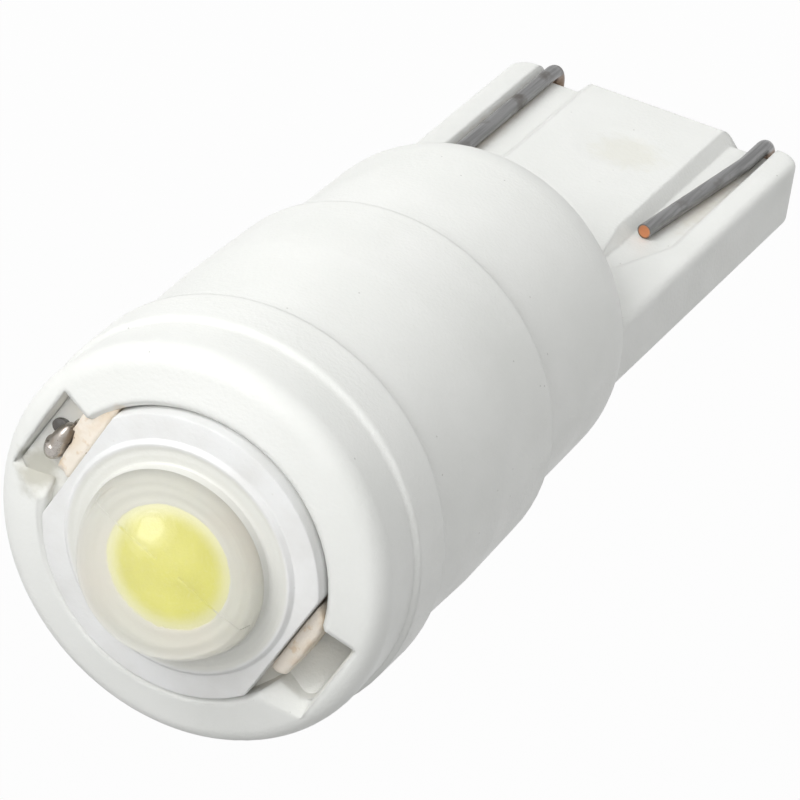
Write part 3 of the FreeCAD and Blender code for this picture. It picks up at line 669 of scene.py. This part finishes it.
@dataclass
class Studio:
    """Pale floor, soft lamps and an even white surround."""

    floor_level: float = -0.03
    floor_size: float = 6.0
    key_power: float = 0.525
    key_discs: tuple[tuple[float, float], ...] = ((0.12, 0.25), (0.19, 0.3), (0.27, 0.45))
    disc_gap: float = 0.001
    front_power: float = 0.24
    front_size: float = 0.2
    surround: float = 0.37

    def build(self) -> None:
        """Make the floor, the lamps and the world."""
        bm = bmesh.new()
        bmesh.ops.create_grid(bm, x_segments=2, y_segments=2, size=self.floor_size / 2)
        bmesh.ops.translate(bm, verts=bm.verts, vec=(0, 0, self.floor_level))
        data = bpy.data.meshes.new("floor")
        bm.to_mesh(data)
        bm.free()
        data.materials.append(self.floor_finish())
        floor = bpy.data.objects.new("floor", data)
        bpy.context.scene.collection.objects.link(floor)
        middle = Vector((0, 0, 0.018))
        for index, (size, share) in enumerate(self.key_discs):
            away = 0.26 + self.disc_gap * index
            self.lamp("key_lamp", middle, Vector((-0.36, 0.66, 0.64)), away, size, self.key_power * share)
        front = self.lamp("front_lamp", middle, Vector((0.3, 0.5, 0.81)), 0.34, self.front_size, self.front_power)
        front.visible_glossy = False
        self.world()

    @staticmethod
    def lamp(name: str, middle: Vector, towards: Vector, away: float, width: float, power: float) -> bpy.types.Object:
        """Hang a round lamp that faces the object.

        Args:
            name: The lamp's name.
            middle: The point that it faces.
            towards: The direction from that point to the lamp.
            away: Its distance in metres.
            width: Its diameter in metres.
            power: Its power in watts.

        Returns:
            The lamp.
        """
        light = bpy.data.lights.new(name, "AREA")
        light.shape = "DISK"
        light.size = width
        light.energy = power
        made = bpy.data.objects.new(name, light)
        direction = towards.normalized()
        made.location = middle + direction * away
        made.rotation_euler = direction.to_track_quat("Z", "Y").to_euler()
        bpy.context.scene.collection.objects.link(made)
        return made

    @staticmethod
    def seen(graph: Graph) -> bpy.types.NodeSocket:
        """Give 1 for rays that see the background straight, in a reflection or through glass."""
        rays = graph.node("LightPath").outputs
        mirrored = graph.maths("MAXIMUM", rays["Is Glossy Ray"], rays["Is Transmission Ray"])
        return graph.maths("MAXIMUM", rays["Is Camera Ray"], mirrored)

    def floor_finish(self) -> bpy.types.Material:
        """Give a pale floor that is white to the camera and still takes a soft shadow."""
        material = bpy.data.materials.new("pale_floor")
        material.use_nodes = True
        material.node_tree.nodes.clear()
        graph = Graph(material.node_tree)
        diffuse = graph.node("BsdfDiffuse", {"Color": (0.8, 0.8, 0.8)})
        white = graph.node("Emission", {"Color": (1.0, 1.0, 1.0), "Strength": 1.0})
        share = graph.maths("MULTIPLY", self.seen(graph), 0.95)
        mixed = graph.node("MixShader", {0: share, 1: diffuse.outputs[0], 2: white.outputs[0]})
        graph.node("OutputMaterial", {"Surface": mixed.outputs[0]})
        return material

    def world(self) -> None:
        """Light the object evenly from all round, on a white surround."""
        world = bpy.data.worlds.new("surround")
        world.use_nodes = True
        world.node_tree.nodes.clear()
        graph = Graph(world.node_tree)
        strength = graph.between(self.seen(graph), 0.0, 1.0, self.surround, 1.0)
        background = graph.node("Background", {"Color": (1.0, 1.0, 1.0), "Strength": strength})
        graph.node("OutputWorld", {"Surface": background.outputs[0]})
        bpy.context.scene.world = world


@dataclass
class Viewpoint:
    """The photograph's camera, fitted to the outlines in the picture."""

    place: Vector
    right: Vector
    up: Vector
    lens: float = 270.0
    sensor: float = 36.0

    def build(self) -> None:
        """Make the scene's camera."""
        data = bpy.data.cameras.new("photo_view")
        data.lens = self.lens
        data.sensor_width = self.sensor
        data.clip_start = 0.01
        data.clip_end = 20.0
        camera = bpy.data.objects.new("photo_view", data)
        right = self.right.normalized()
        back = right.cross(self.up).normalized()
        up = back.cross(right)
        turn = Matrix((right, up, back)).transposed().to_4x4()
        camera.matrix_world = Matrix.Translation(self.place) @ turn
        bpy.context.scene.collection.objects.link(camera)
        bpy.context.scene.camera = camera


@dataclass
class Emitter:
    """The light emitter: clear lens, clouded gel, phosphor in its cup and solder on its near tab."""

    flange_radius: float = 4.1
    flat_distance: float = 3.57
    flange_bottom: float = 28.95
    flange_top: float = 29.65
    step_radius: float = 3.35
    step_height: float = 0.12
    dome_radius: float = 2.75
    dome_centre: float = 29.5
    well_radius: float = 2.6
    well_floor: float = 28.2
    cup_radius: float = 1.38
    cup_top: float = 29.8
    mound_top: float = 30.08
    drop_centre: tuple[float, float, float] = (4.43, 0.33, 28.97)
    drop_half: tuple[float, float, float] = (0.34, 0.56, 0.46)
    near_outline: tuple[tuple[float, float], ...] = (
        (3.62, -2.1), (3.95, -1.75), (4.1, -1.3), (4.33, -1.2), (4.3, -0.75), (4.12, -0.2), (4.04, 0.62), (3.62, 0.84))
    far_outline: tuple[tuple[float, float], ...] = (
        (3.62, -0.95), (3.85, -0.95), (4.08, -0.8), (4.1, 0.92), (3.95, 1.4), (3.62, 1.6))
    shoulder_foot: float = 28.35
    shoulder_top: float = 29.34
    shoulder_edge: float = 0.1
    near_floor: tuple[tuple[float, float, float], ...] = (
        (3.3, -1.27, 27.9), (4.97, -1.27, 28.7), (4.96, 1.45, 29.15), (3.2, 2.6, 28.92))
    far_floor: tuple[tuple[float, float, float], ...] = (
        (3.3, 1.27, 26.5), (4.97, 1.27, 26.1), (4.96, -1.45, 28.75), (3.2, -2.6, 28.92))
    floor_depth: float = 0.4
    floor_steps: int = 16
    steps: int = 128

    def build(self, finishes: dict[str, bpy.types.Material]) -> None:
        """Make the lens, the gel, the phosphor and the solder drop."""
        self.lens(finishes["clear_lens"], finishes["frosted_flange"])
        self.gel(finishes["clear_gel"])
        self.phosphor(finishes["phosphor"])
        self.drop(finishes["solder"])
        self.shoulder("near_shoulder", Side.NEAR, self.near_outline, finishes["ivory_plastic"])
        self.shoulder("far_shoulder", Side.FAR, self.far_outline, finishes["ivory_plastic"])
        self.slot_floor("near_slot_floor", Side.NEAR, self.near_floor, finishes["ceramic"])
        self.slot_floor("far_slot_floor", Side.FAR, self.far_floor, finishes["ceramic"])

    def lens(self, clear: bpy.types.Material, frosted: bpy.types.Material) -> None:
        """One clear body: frosted flange with two flats, two fine rings and the dome.

        Args:
            clear: The finish of the rings and the dome.
            frosted: The finish of the flange and of the underside.
        """
        edge = 0.06
        top = self.flange_top
        step_top = top + self.step_height
        under = self.flange_bottom + 0.02
        profile = [
            (0.0, under),
            (self.flange_radius, under),
            (self.flange_radius, top - edge),
            (self.flange_radius - edge * 0.3, top - edge * 0.3),
            (self.flange_radius - edge, top),
            (self.step_radius + 0.05, top),
            (self.step_radius + 0.01, top + 0.04),
            (self.step_radius - 0.02, step_top - 0.03),
            (self.step_radius - 0.06, step_top),
            (self.step_radius - 0.13, step_top - 0.005),
            (self.step_radius - 0.2, step_top - 0.035),
            (self.step_radius - 0.29, step_top - 0.04),
            (self.step_radius - 0.35, step_top - 0.02),
            (self.step_radius - 0.42, step_top - 0.015),
            (self.step_radius - 0.5, step_top - 0.03),
            (self.dome_radius + 0.03, step_top - 0.02),
        ]
        start = math.asin((step_top + 0.02 - self.dome_centre) / self.dome_radius)
        count = 36
        for index in range(count + 1):
            angle = start + (math.pi / 2 - start) * index / count
            profile.append((self.dome_radius * math.cos(angle), self.dome_centre + self.dome_radius * math.sin(angle)))
        profile[-1] = (0.0, self.dome_centre + self.dome_radius)
        mesh = Mesh("lens_moulding")
        mesh.turned(profile, self.steps)
        for side in Side:
            outward = side.point(1.0, 0.0, 0.0).normalized()
            mesh.trimmed(side.point(self.flat_distance, 0.0, 0.0), outward)
        for face in mesh.bm.faces:
            middle = face.calc_center_median()
            underside = middle.z < (under + 0.01) * MM
            outside = middle.xy.length > (self.dome_radius - 0.04) * MM
            face.material_index = int(underside or outside)
        mesh.finish(clear, "clear_lens", ("emitter_lens",), smooth_angle=30.0, second=frosted)

    def gel(self, finish: bpy.types.Material) -> None:
        """Clouded gel round the cup, with a low wave where the rings of its surface lie."""
        inner = self.cup_radius - 0.04
        mesh = Mesh("gel_ring")
        mesh.turned([
            (inner, self.well_floor),
            (self.well_radius, self.well_floor),
            (self.well_radius, self.flange_bottom + 0.3),
            (self.well_radius - 0.1, self.flange_bottom + 0.55),
            (self.well_radius - 0.35, self.cup_top - 0.08),
            (self.well_radius - 0.6, self.cup_top + 0.03),
            (self.well_radius - 0.85, self.cup_top),
            (inner + 0.12, self.cup_top + 0.06),
            (inner, self.cup_top + 0.03),
            (inner, self.well_floor),
        ], self.steps)
        mesh.finish(finish, "clear_gel", ("gel_fill",), smooth_angle=40.0)

    def drop(self, finish: bpy.types.Material) -> None:
        """Solder that has run down the near tab and set as an egg shaped drop."""
        mesh = Mesh("solder_drop")
        ball = bmesh.ops.create_uvsphere(mesh.bm, u_segments=40, v_segments=24, radius=1.0)["verts"]
        upper = [vert for vert in ball if vert.co.y < 0]
        bmesh.ops.scale(mesh.bm, vec=(0.82, 1.3, 0.86), verts=upper)
        bmesh.ops.scale(mesh.bm, vec=tuple(half * MM for half in self.drop_half), verts=ball)
        turn = Matrix.Rotation(math.radians(Side.NEAR.value), 3, "Z")
        bmesh.ops.rotate(mesh.bm, cent=(0, 0, 0), matrix=turn, verts=ball)
        bmesh.ops.translate(mesh.bm, vec=Side.NEAR.point(*self.drop_centre), verts=ball)
        mesh.finish(finish, "solder", ("solder_anode",), smooth_angle=80.0)

    def shoulder(self, name: str, side: Side, outline: tuple[tuple[float, float], ...],
                 finish: bpy.types.Material) -> None:
        """Rounded block of the housing in front of one flat.

        Args:
            name: The piece's name.
            side: The end of the lead axis.
            outline: Corners in plan, as millimetres out and across.
            finish: The housing's finish.
        """
        mesh = Mesh(name)
        corners = [mesh.bm.verts.new(side.point(out, across, self.shoulder_foot)) for out, across in outline]
        foot = mesh.bm.faces.new(corners)
        raised = bmesh.ops.extrude_face_region(mesh.bm, geom=[foot])["geom"]
        lifted = [item for item in raised if isinstance(item, bmesh.types.BMVert)]
        rise = (self.shoulder_top - self.shoulder_foot) * MM
        bmesh.ops.translate(mesh.bm, vec=(0, 0, rise), verts=lifted)
        bmesh.ops.recalc_face_normals(mesh.bm, faces=mesh.bm.faces)
        bmesh.ops.bevel(mesh.bm, geom=mesh.bm.edges[:], offset=self.shoulder_edge * MM, segments=4, profile=0.5,
                        affect="EDGES", material=-1)
        mesh.finish(finish, "ivory_plastic", smooth_angle=50.0)

    def slot_floor(self, name: str, side: Side, corners: tuple[tuple[float, float, float], ...],
                   finish: bpy.types.Material) -> None:
        """Sloping ceramic floor of one lead slot.

        Args:
            name: The piece's name.
            side: The end of the lead axis.
            corners: The floor's corners, as millimetres out, across and up.
            finish: The ceramic's finish.
        """
        mesh = Mesh(name)
        count = self.floor_steps
        shares = [index / count for index in range(count + 1)]
        first, second, third, fourth = (side.point(*corner) for corner in corners)
        rows = [[first.lerp(second, along).lerp(fourth.lerp(third, along), down) for along in shares] for down in shares]
        points = [[mesh.bm.verts.new(point) for point in row] for row in rows]
        for upper, lower in zip(points, points[1:]):
            for index in range(count):
                mesh.bm.faces.new((upper[index], upper[index + 1], lower[index + 1], lower[index]))
        drop = Vector((0, 0, -self.floor_depth * MM))
        raised = bmesh.ops.extrude_face_region(mesh.bm, geom=mesh.bm.faces[:], use_keep_orig=True)["geom"]
        bmesh.ops.translate(mesh.bm, vec=drop, verts=[item for item in raised if isinstance(item, bmesh.types.BMVert)])
        mesh.finish(finish, "ceramic")

    def phosphor(self, finish: bpy.types.Material) -> None:
        """A smooth low mound of phosphor that fills the cup and runs a little over its rim."""
        count = 12
        profile = [(0.0, self.cup_top - 0.1), (self.cup_radius, self.cup_top - 0.1)]
        rise = self.mound_top - self.cup_top
        for index in range(count + 1):
            share = index / count
            profile.append((self.cup_radius * (1 - share), self.cup_top + rise * (1 - (1 - share) ** 2)))
        profile[-1] = (0.0, self.mound_top)
        mesh = Mesh("phosphor_mound")
        mesh.turned(profile, 64)
        mesh.finish(finish, "phosphor", ("phosphor_fill",), smooth_angle=60.0)


@dataclass(frozen=True)
class Palette:
    """Which finish each material slot of the record gets."""

    stains_and_shade: tuple[Mark, ...] = (
        Mark((0.5, 1.05, 3.4), (1.4, 0.6, 1.3), (0.72, 0.7, 0.58), 0.34),
        Mark((-0.42, 1.0, 0.05), (0.16, 0.2, 0.14), (0.45, 0.3, 0.16), 0.75),
        # Painted shade and a painted warm reflection along the two contact wires, in their grooves.
        Mark((3.5, 0.85, 3.8), (0.55, 0.3, 3.9), (0.62, 0.55, 0.42), 0.35),
        Mark((-3.5, 0.85, 5.0), (0.55, 0.3, 6.0), (0.62, 0.55, 0.42), 0.3),
        Mark((-2.3, 3.4, 29.4), (0.35, 0.35, 0.3), (0.62, 0.45, 0.28), 0.4),
        # Painted shade in the near lead slot, beside the solder drop.
        Mark((-4.65, 0.55, 29.0), (0.75, 1.0, 0.8), (0.5, 0.49, 0.42), 0.85),
        # Painted shade on the deep floor and walls of the far lead slot.
        Mark((4.35, -0.7, 26.8), (0.95, 1.5, 1.9), (0.42, 0.42, 0.35), 0.6),
    )

    def finishes(self, effects: Effects) -> dict[str, bpy.types.Material]:
        """Build every finish.

        Args:
            effects: The shared node groups.

        Returns:
            The materials by slot.
        """
        grey = (0.5, 0.49, 0.47)
        bands = ((16.6, (0.3, 0.12, 0.05)), (18.0, (0.02, 0.02, 0.02)), (19.4, (0.25, 0.02, 0.02)),
                 (21.2, (0.6, 0.42, 0.1)))
        made = {
            "ceramic": FiredCeramic("fired_ceramic", stains_and_shade=self.stains_and_shade),
            "clear_lens": ClearSilicone("clear_silicone"),
            "clear_gel": CloudedGel("clouded_gel"),
            "frosted_flange": FrostedSilicone("frosted_silicone"),
            "ivory_plastic": IvoryMoulding("ivory_moulding"),
            "phosphor": PhosphorSilicone("phosphor_silicone"),
            "slug_copper": Metal("plated_slug", (0.93, 0.92, 0.89), (0.89, 0.88, 0.84), (0.87, 0.84, 0.79), 0.55, 1.0),
            "chip": Coating("chip_crystal", (0.1, 0.14, 0.35), (0.16, 0.2, 0.42), 0.15, 0.6),
            "silver_epoxy": Coating("silver_epoxy", (0.55, 0.55, 0.55), (0.45, 0.45, 0.45), 0.5),
            "silver_wire": BondWire("silver_wire", (0.79, 0.78, 0.72), (0.77, 0.76, 0.7), (0.74, 0.73, 0.66), 0.8),
            "tinned_lead": Metal("tinned_lead", (0.6, 0.58, 0.54), (0.42, 0.4, 0.36), (0.3, 0.24, 0.18), 0.3, 2.0),
            "solder": Metal("dull_solder", (0.47, 0.44, 0.41), (0.43, 0.4, 0.37), (0.34, 0.3, 0.26), 0.24, 1.2,
                            mark_depth=0.001),
            "adhesive": Coating("white_adhesive", (0.82, 0.82, 0.81), (0.74, 0.74, 0.72), 0.6),
            "resistor_coat": BandedCoating("resistor_coat", (0.3, 0.42, 0.5), (0.25, 0.36, 0.44), 0.35, bands=bands),
            "resistor_cap": Metal("pressed_cap", (0.66, 0.65, 0.62), grey, (0.4, 0.37, 0.32), 0.35, 1.0),
            "tinned_wire": TinnedWire("tinned_wire", (0.27, 0.27, 0.27), (0.2, 0.2, 0.2), (0.17, 0.16, 0.15), 0.28, 30.0),
            "sleeve": WovenSleeve("woven_sleeve"),
        }
        return {slot: finish.build(effects) for slot, finish in made.items()}


def dress_nodes(nodes: dict[str, bpy.types.Object], record: dict[str, Any],
                finishes: dict[str, bpy.types.Material]) -> None:
    """Give each CAD node the finish of its slot.

    Args:
        nodes: The CAD nodes by name.
        record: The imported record.
        finishes: The materials by slot.
    """
    slots = {part["node"]: part["material_slot"] for part in record["subparts"]}
    for name, node in nodes.items():
        node.data.materials.clear()
        node.data.materials.append(finishes[slots[name]])
        LOG.info("node %s: %s", name, slots[name])


def main() -> None:
    """Build the dressed lamp, its studio and its camera."""
    logging.basicConfig(level=logging.INFO, format="%(name)s %(message)s")
    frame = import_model()
    bpy.context.scene.view_settings.view_transform = "Standard"
    finishes = Palette().finishes(Effects())
    dress_nodes(frame["nodes"], frame["record"], finishes)
    Emitter().build(finishes)
    Studio().build()
    Viewpoint(place=Vector((54.92, 83.35, 149.37)) * MM, right=Vector((0.88279, 0.13398, -0.45026)),
              up=Vector((-0.33537, 0.8509, -0.40434))).build()
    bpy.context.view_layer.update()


if __name__ == "__main__":
    main()
